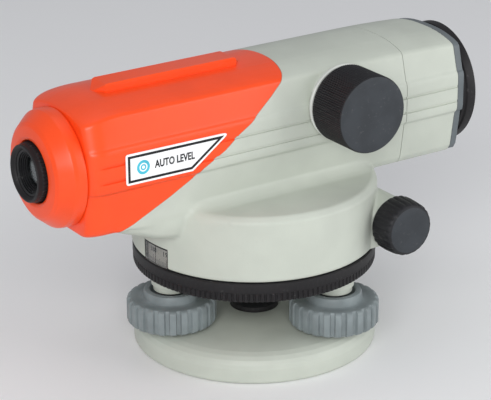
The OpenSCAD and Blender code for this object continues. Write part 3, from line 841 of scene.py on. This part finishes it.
# %% Front plate and objective ring
plate_back = front_at + 0.1 * mm
plate_face = 96.3 * mm
plate_hole = 24.6 * mm


def bearing(point):
    """Angle of a point round the line of sight."""
    return math.atan2(point[2] - sight_height, point[1])


def plate_ring(x, inset):
    """Outer outline and round hole of the plate, matched point by point by angle."""
    outline = sorted(body_section(x, inset, 5), key=bearing)
    angles = [bearing(point) for point in outline]
    hole = [(x, plate_hole * math.cos(a), sight_height + plate_hole * math.sin(a)) for a in angles]
    return outline, hole


edges = ((plate_back, 0.35 * mm), (plate_face - 0.3 * mm, 0.3 * mm), (plate_face, 0.6 * mm))
rows = [plate_ring(x, inset)[0] for x, inset in edges]
rows += [plate_ring(x, 0.4 * mm)[1] for x in (plate_face, plate_back)]
plate_points = [p for row in rows for p in row]
piece(
    "front_gasket_plate", plate_points, grid_faces(len(rows), len(rows[0]), wrap_rows=True), plate_plastic,
    body="housing", stands_for=["front_plate"], slot="plate_grey",
)

objective_profile = [
    (21.4, 98.8), (21.4, 93.1), (24.2, 93.1), (24.2, 96.4), (26.7, 96.4), (27.0, 96.8), (27.0, 98.0),
    (27.7, 98.5), (27.8, 98.9), (27.8, 102.7), (27.4, 103.2), (26.6, 103.3), (25.6, 103.2),
]
for i in range(5):
    radius = 25.2 - 0.75 * i
    x = 102.8 - 0.8 * i
    objective_profile += [(radius, x), (radius - 0.55, x - 0.05)]
objective_ring = lathe(
    "objective_ring_black", sized(objective_profile), 192, black_plastic, along_x,
    body="housing", stands_for=["objective_ring"], slot="black_plastic",
)
print("objective ring points:", len(objective_ring.data.vertices))

# %% Lenses
def lens_profile(radius, face, bulge, back):
    """Half profile of a lens, bulged at the front, flat at the back, from the axis to the axis."""
    steps = 10
    front = [(radius * i / steps, face - bulge * (i / steps) ** 2) for i in range(steps + 1)]
    return front + [(radius, back), (0.0, back)]


lens_shape = lens_profile(19.9 * mm, 92.6 * mm, 2.8 * mm, 86.2 * mm)
lathe(
    "objective_lens_glass", lens_shape, 96, coated_glass, along_x,
    closed=False, body="housing", stands_for=["objective_lens"], slot="lens_glass",
)
for name in ("focus_lens", "eye_lens", "field_lens", "reticle_plate", "roof_prism", "pendulum_prism",
             "bubble_vial", "bubble_prism"):
    paint_node(name, coated_glass)
print("lenses done")

# %% [markdown]
# ## Knobs
#
# The focusing knob has a fine straight knurl and a plain face with a small chamfer. The two tangent knobs
# are smaller, with soft ridges and a slight taper, so that they are told apart by touch. Each is turned
# as one piece, like the moulding, and its flat face gets a second, greyer finish.

# %% Focusing knob
def face_finish(obj, axis, at):
    """Gives the flat end of a knob, at a distance along the axis, its own finish."""
    tolerance = 0.15 * mm
    obj.data.materials.append(knob_face)
    for polygon in obj.data.polygons:
        along = polygon.center.dot(axis)
        if abs(polygon.normal.dot(axis)) > 0.9 and abs(along - at) < tolerance:
            polygon.material_index = 1


focus_inner = 31.5 * mm
focus_outer = 52.2 * mm
focus_radius = 17.2 * mm
focus_profile = [
    (0.0, focus_inner), (15.6 * mm, focus_inner), (16.7 * mm, focus_inner + 0.2 * mm),
    (focus_radius, focus_inner + 0.9 * mm), (focus_radius, focus_inner + 1.3 * mm),
    (focus_radius, focus_inner + 10 * mm), (focus_radius, focus_outer - 1.0 * mm),
    (focus_radius - 0.25 * mm, focus_outer - 0.5 * mm), (focus_radius - 0.5 * mm, focus_outer - 0.15 * mm),
    (focus_radius - 0.9 * mm, focus_outer), (focus_radius - 4 * mm, focus_outer - 0.05 * mm),
    (8 * mm, focus_outer - 0.1 * mm), (0.0, focus_outer - 0.1 * mm),
]
focus_knob = lathe(
    "focusing_knob", focus_profile, 720, knob_plastic, along_y(focus_x, focus_z),
    straight_knurl(110, 0.45 * mm, (3, 4, 5, 6)), closed=False,
    body="focus_drive", stands_for=["focus_knob"], slot="knob_black",
)
face_finish(focus_knob, Vector((0, -1, 0)), focus_outer)
collar_profile = [(2.6, 29.3), (16.2, 29.3), (16.9, 29.6), (17.0, 30.4), (16.6, 30.9), (2.6, 31.0)]
lathe(
    "focusing_collar", sized(collar_profile), 128, pale_collar, along_y(focus_x, focus_z),
    body="housing", stands_for=["focus_bush"], slot="grey_paint",
)
print("focusing knob points:", len(focus_knob.data.vertices))

# %% Tangent knobs
def soft_ridges(count, depth, rows):
    """Shallow rounded flutes that fade towards the ends."""
    def knurl(angle, row):
        if row not in rows:
            return 0.0
        return -depth * rows[row] * (0.5 - 0.5 * math.cos(angle * count)) ** 2
    return knurl


tangent_near = 45.8 * mm
tangent_profile = [
    (0.0, 0.0), (10.4, 0.0), (11.6, 0.4), (12.4, 1.4), (12.5, 3.5), (12.4, 6.5), (12.2, 9.5), (11.9, 11.1),
    (11.3, 12.1), (10.4, 12.6), (6.0, 12.55), (0.0, 12.5),
]
ridge_rows = {3: 0.6, 4: 1.0, 5: 1.0, 6: 0.9, 7: 0.6, 8: 0.2}
for side, node in ((1, "tangent_knob_right"), (-1, "tangent_knob_left")):
    flip = Matrix.Scale(side, 4, (0, 1, 0))
    knob = lathe(
        node + "_moulded", sized(tangent_profile, tangent_near), 432, knob_plastic,
        flip @ along_y(tangent_x, tangent_z), soft_ridges(24, 0.45 * mm, ridge_rows), closed=False,
        body="tangent_drive", stands_for=[node], slot="knob_black",
    )
    face_finish(knob, Vector((0, -side, 0)), tangent_near + 12.55 * mm)
print("tangent knobs done")

# %% [markdown]
# ## Setting ring and graduated circle
#
# The black ring turns the horizontal circle by hand. It is smooth where it meets the skirt and toothed
# along its lower half. The circle's drum carries a tick for every degree and a number every ten, and a
# few of them show through the window at the rear. Ticks and numbers are thin raised shapes, which
# stay crisp from close up.

# %% Setting ring
setting_low = 38.5 * mm
tooth_count = 144
tooth_depth = 0.45 * mm
setting_profile = [
    (46.2, 0.0), (53.4, 0.0), (54.2, 0.4), (54.4, 1.0), (54.4, 3.6), (54.3, 4.1), (54.5, 4.4), (54.5, 8.4),
    (54.0, 8.85), (51.9, 8.9), (51.9, 2.0), (46.2, 2.0),
]


def ring_teeth(angle, row):
    if row not in (1, 2, 3, 4):
        return 0.0
    phase = (angle * tooth_count / (2 * math.pi)) % 1.0
    return -tooth_depth if 0.3 < phase < 0.7 else 0.0


setting_ring = lathe(
    "setting_ring_toothed", sized(setting_profile, setting_low), 8 * tooth_count, black_plastic,
    knurl=ring_teeth, body="circle", stands_for=["setting_ring"], slot="black_plastic",
)
print("setting ring points:", len(setting_ring.data.vertices))

# %% Scale on the circle
paint_node("graduated_circle", circle_paint)
scale_radius = 51.82 * mm
tick_foot = 47.6
tick_half = 0.09 * mm
tick_relief = 0.05 * mm
box_faces = ((0, 1, 3, 2), (4, 6, 7, 5), (0, 4, 5, 1), (2, 3, 7, 6), (0, 2, 6, 4), (1, 5, 7, 3))
tick_points = []
tick_faces = []
for degree in range(360):
    angle = math.radians(degree)
    tall = 3.4 if degree % 10 == 0 else 2.6 if degree % 5 == 0 else 1.8
    across = Vector((-math.sin(angle), math.cos(angle), 0)) * tick_half
    out = Vector((math.cos(angle), math.sin(angle), 0))
    start = len(tick_points)
    for reach in (scale_radius - tick_relief, scale_radius + tick_relief):
        for z in (tick_foot * mm, (tick_foot + tall) * mm):
            lift = Vector((0, 0, z))
            tick_points += [out * reach - across + lift, out * reach + across + lift]
    tick_faces += [tuple(start + k for k in face) for face in box_faces]
piece("circle_ticks", tick_points, tick_faces, ink_and_painted_shadow, body="circle", slot="black_plastic")
print("ticks on the circle:", len(tick_faces) // len(box_faces))

# %% Numbers on the circle


def lettering(name, words, size, thickness, place, body, bold):
    """Raised flat letters in black ink as a closed mesh, placed by a matrix."""
    curve = bpy.data.curves.new(name, "FONT")
    curve.body = words
    curve.size = size
    curve.extrude = thickness
    curve.offset = bold
    curve.align_x = "CENTER"
    curve.align_y = "CENTER"
    curve.resolution_u = 3
    holder = scene_object(name + "_text", curve)
    bpy.context.view_layer.update()
    shape = holder.evaluated_get(bpy.context.evaluated_depsgraph_get())
    mesh = bpy.data.meshes.new_from_object(shape)
    bpy.data.objects.remove(holder)
    mesh.transform(place)
    return dress(scene_object(name, mesh), ink_and_painted_shadow, body)


for tens in range(36):
    angle = math.radians(10 * tens)
    face_out = Matrix.Rotation(angle, 4, "Z") @ Matrix.Translation((scale_radius, 0, 53.2 * mm))
    upright = face_out @ Matrix.Rotation(quarter, 4, "Z") @ Matrix.Rotation(quarter, 4, "X")
    number = "circle_number_%02d" % tens
    lettering(number, str(10 * tens), 3.2 * mm, 0.04 * mm, upright, "circle", 0.05 * mm)
print("numbers on the circle: 36")

# %% [markdown]
# ## Reading window
#
# A clear curved pane sits in the skirt's gap. It is bent to the skirt's radius, so one function makes the
# pane, the thin index line down its middle, against which the circle is read, and thin black strips of
# painted shadow round three of its edges.

# %% Reading window
def pane(inner, outer, low, high, start, angle, steps=12):
    """A curved slab between two radii, two heights and two angles."""
    sections = []
    for i in range(steps + 1):
        a = start + angle * i / steps
        corners = ((inner, low), (outer, low), (outer, high), (inner, high))
        sections.append([(r * math.cos(a), r * math.sin(a), z) for r, z in corners])
    return loft(sections)


gap = math.radians(0.25)
pane_start = window_start + gap
pane_angle = window_angle - 2 * gap
pane_face = 54.4 * mm
line_low = skirt_low + 0.3 * mm
line_high = window_top - 0.3 * mm
glass = pane(52.9 * mm, pane_face, skirt_low + 0.2 * mm, window_top - 0.2 * mm, pane_start, pane_angle)
piece("reading_window_pane", *glass, window_glass, "housing", ["circle_window"], "clear_window")
middle = window_start + window_angle * 0.5
index = pane(pane_face, 54.46 * mm, line_low, line_high, middle, gap, 1)
piece("window_index_line", *index, ink_and_painted_shadow, "housing", slot="black_plastic")
right_start = window_start + window_angle - math.radians(0.75)
# Thin black strips on the pane's left, right and top edges are painted shadow of the window's recess.
for name, start, angle, low in (
    ("left", pane_start, math.radians(0.9), line_low),
    ("right", right_start, math.radians(0.5), line_low),
    ("top", pane_start, pane_angle, window_top - 0.9 * mm),
):
    shadow = pane(54.41 * mm, 54.5 * mm, low, line_high, start, angle)
    piece("window_painted_shadow_" + name, *shadow, ink_and_painted_shadow, "housing", slot="black_plastic")
print("window done")

# %% [markdown]
# ## Foot screws
#
# Three grey moulded knobs carry twenty-four flutes each. The top has a shallow moat and a raised collar
# round the tribrach's boss. Each flute is a groove with a flat floor and sloping sides, made by a dip
# in the radius, and the lands between the flutes stay round.

# %% Foot-screw knobs
flute_count = 24
flute_depth = 1.2 * mm
foot_profile = [
    (4.0, 15.4), (17.6, 15.4), (18.6, 15.6), (19.5, 16.2), (19.9, 17.0), (19.9, 21.0), (19.9, 25.6),
    (19.6, 26.4), (18.8, 27.1), (17.7, 27.3), (15.6, 27.0), (13.4, 26.9), (12.7, 27.2), (12.4, 29.6),
    (11.9, 30.7), (11.0, 31.0), (9.8, 30.9), (9.4, 30.5), (9.4, 27.0), (4.0, 27.0),
]
flute_rows = {2: 0.5, 3: 0.9, 4: 1.0, 5: 1.0, 6: 1.0, 7: 0.9, 8: 0.5}


def foot_flutes(angle, row):
    if row not in flute_rows:
        return 0.0
    phase = (angle * flute_count / (2 * math.pi)) % 1.0
    across = abs(phase - 0.5) / 0.5
    return -flute_depth * flute_rows[row] * max(0.0, min(1.0, (0.46 - across) / 0.12))


feet = {"rear": 174.2, "front": -65.8, "side": 54.2}
foot_pitch = 41.6 * mm
for which, degrees in feet.items():
    angle = math.radians(degrees)
    spot = Matrix.Translation((foot_pitch * math.cos(angle), foot_pitch * math.sin(angle), 0))
    lathe(
        "foot_knob_%s_fluted" % which, sized(foot_profile), 24 * flute_count, foot_plastic,
        spot, foot_flutes, body="foot_screw_" + which, stands_for=["foot_knob_" + which], slot="foot_grey",
    )
print("foot knobs done")

# %% [markdown]
# ## Base plate
#
# The base is a turned casting: a thick rim with a rolled edge, and a top that rises a little towards
# the tripod boss. Its underside is left open for the sprung plate that holds the ball ends. One turned
# profile with small arcs is all that such a shape needs.

# %% Base plate
base_profile = [
    (10.0, 0.2), (16.0, 0.2), (16.2, 0.6), (16.3, 5.0), (50.3, 5.0), (50.5, 0.4), (51.0, 0.0),
    (53.4, 0.0), (54.4, 0.5), (54.8, 1.4), (54.8, 6.8), (54.4, 8.8), (53.3, 10.6), (51.5, 12.0),
    (49.0, 13.0), (45.5, 13.6), (40.0, 13.95), (34.0, 14.1), (16.0, 14.2), (10.0, 14.2),
]
base_plate = lathe(
    "base_plate_cast", rounded(sized(base_profile), 0.9 * mm, 3, closed=True), 256,
    grey_enamel, body="base", stands_for=["base_plate"], slot="grey_paint",
)
paint_node("tripod_boss", black_plastic)
paint_node("tribrach_plate", grey_enamel)
print("base points:", len(base_plate.data.vertices))

# %% [markdown]
# ## Label
#
# A printed film label lies on the orange side band: white, cut as a slanted tag, with a black border
# inside. The words and the little bull's-eye sign, for a circular bubble, are generic. Each ink layer
# is its own thin raised shape, so that it stays crisp from close up.

# %% Label
label_face = -27.8 * mm


def tag(corners, low, high, radius):
    """A flat tag in the side's plane with rounded corners, between two depths off the side band."""
    outline = rounded(sized(corners), radius, 4, closed=True)
    return loft([[(a, label_face - h, b) for a, b in outline] for h in (low, high)])


def frame_of(outer, inner, low, high):
    """A flat border between two outlines with equal numbers of corners."""
    rows = []
    for outline, depth in ((outer, low), (outer, high), (inner, high), (inner, low)):
        rows.append([(a * mm, label_face - depth, b * mm) for a, b in outline])
    return [p for row in rows for p in row], grid_faces(4, len(outer), wrap_rows=True)


tag_corners = [(-81.4, 111.4), (-30.6, 111.2), (-49.2, 97.7), (-81.4, 97.9)]
border_outer = [(-80.5, 110.5), (-33.4, 110.3), (-49.6, 98.6), (-80.5, 98.8)]
border_inner = [(-79.4, 109.4), (-36.7, 109.2), (-50.0, 99.7), (-79.4, 99.9)]
film = tag(tag_corners, 0.0, 0.38 * mm, 1.2 * mm)
piece("label_tag", *film, white_film, "housing", ["label_plate"], "label")
border = frame_of(border_outer, border_inner, 0.36 * mm, 0.42 * mm)
piece("label_border", *border, ink_and_painted_shadow, "housing", slot="black_plastic")
print("label tag and border done")

# %% Words and sign on the label
facing_right = Matrix.Rotation(quarter, 4, "X")
condensed = Matrix.Diagonal((0.74, 1.0, 1.0, 1.0))
words_at = Matrix.Translation((-58.0 * mm, label_face - 0.40 * mm, 104.5 * mm))
words_turned = words_at @ facing_right @ condensed
lettering("label_words", "AUTO LEVEL", 4.6 * mm, 0.03 * mm, words_turned, "housing", 0.14 * mm)


sign_x = -73.2 * mm
sign_z = 104.6 * mm


def disc_on_label(name, radius, low, high, material):
    """A thin printed disc at the sign's place."""
    outline = round_outline(radius, 36)
    sign = [[(sign_x + a, label_face - h, sign_z + b) for a, b in outline] for h in (low, high)]
    piece(name, *loft(sign), material, "housing", slot="label")


disc_on_label("label_sign", 3.1 * mm, 0.36 * mm, 0.42 * mm, blue_ink)
disc_on_label("label_sign_ring", 1.9 * mm, 0.41 * mm, 0.44 * mm, white_film)
disc_on_label("label_sign_inside", 1.35 * mm, 0.43 * mm, 0.46 * mm, blue_ink)
disc_on_label("label_sign_dot", 0.7 * mm, 0.45 * mm, 0.48 * mm, white_film)
print("words and sign done")

# %% [markdown]
# ## Pieces kept from the design
#
# The inner works keep the design's own shapes, since they are turned and milled pieces with the right
# form already. They only need their metals and plastics.

# %% Finishes of the kept nodes
for name in ("bubble_housing", "prism_holder"):
    paint_node(name, black_plastic)
steel_nodes = (
    "spring_plate", "spring_plate_screws", "foot_spindle_rear", "foot_spindle_front", "foot_spindle_side",
    "spindle", "spindle_screws", "clutch_spring", "front_screws", "rear_shell_screws", "tangent_shaft",
    "focus_pinion", "focus_carriage", "guide_rods", "reticle_screws", "compensator_frame",
    "suspension_wires",
)
brass_nodes = (
    "foot_bushes", "spindle_nut", "worm_wheel", "axis_bush", "tangent_bushes", "reticle_ring",
    "damping_cup", "pendulum",
)
for name in steel_nodes:
    paint_node(name, bright_steel)
for name in brass_nodes:
    paint_node(name, turned_brass)
print("kept nodes dressed")

# %% [markdown]
# ## Floor and light
#
# A wide, flat, pale floor gives a plain studio ground. A big soft lamp in front and to the left lights
# the sides, a weaker one fills from the right, a faint one hangs above, and a pale sky keeps the shadows
# open. Large lamps are used because the castings' soft edges need broad highlights.

# %% Floor
floor_finish = Finish("studio_floor", Roughness=0.7, Specular_IOR_Level=0.2)
floor_tone = floor_finish.noise(300 * mm, 1.0)
floor_colour = floor_finish.tint(floor_tone, (0.90, 0.90, 0.90, 1), (0.93, 0.93, 0.93, 1))
floor_finish.feed("Base Color", floor_colour)
corners = [(-6, -6, 0), (6, -6, 0), (6, 6, 0), (-6, 6, 0)]
floor = piece("floor", corners, [(0, 1, 2, 3)], floor_finish.material)
print("floor laid")

# %% Light
world = bpy.data.worlds.new("studio")
bpy.context.scene.world = world
world.use_nodes = True
sky = world.node_tree.nodes["Background"]
sky.inputs["Color"].default_value = (0.93, 0.95, 1.0, 1.0)
sky.inputs["Strength"].default_value = 0.40
lamp_aim = Vector((0, 0, 0.07))


def lamp(name, place, power, size):
    """A rectangular area lamp that faces the middle of the level."""
    light = bpy.data.lights.new(name, "AREA")
    light.energy = power
    light.shape = "RECTANGLE"
    light.size = size[0]
    light.size_y = size[1]
    made = scene_object(name, light)
    made.location = place
    made.rotation_euler = (Vector(place) - lamp_aim).to_track_quat("Z", "Y").to_euler()


lamp("key_front_left", (-0.9, -1.1, 0.75), 14, (0.9, 0.7))
lamp("fill_right", (0.9, -1.0, 0.5), 6, (0.8, 0.8))
lamp("top_soft", (0.0, 0.2, 1.3), 1.5, (1.0, 1.0))
bpy.context.scene.view_settings.view_transform = "Standard"
print("lamps set")
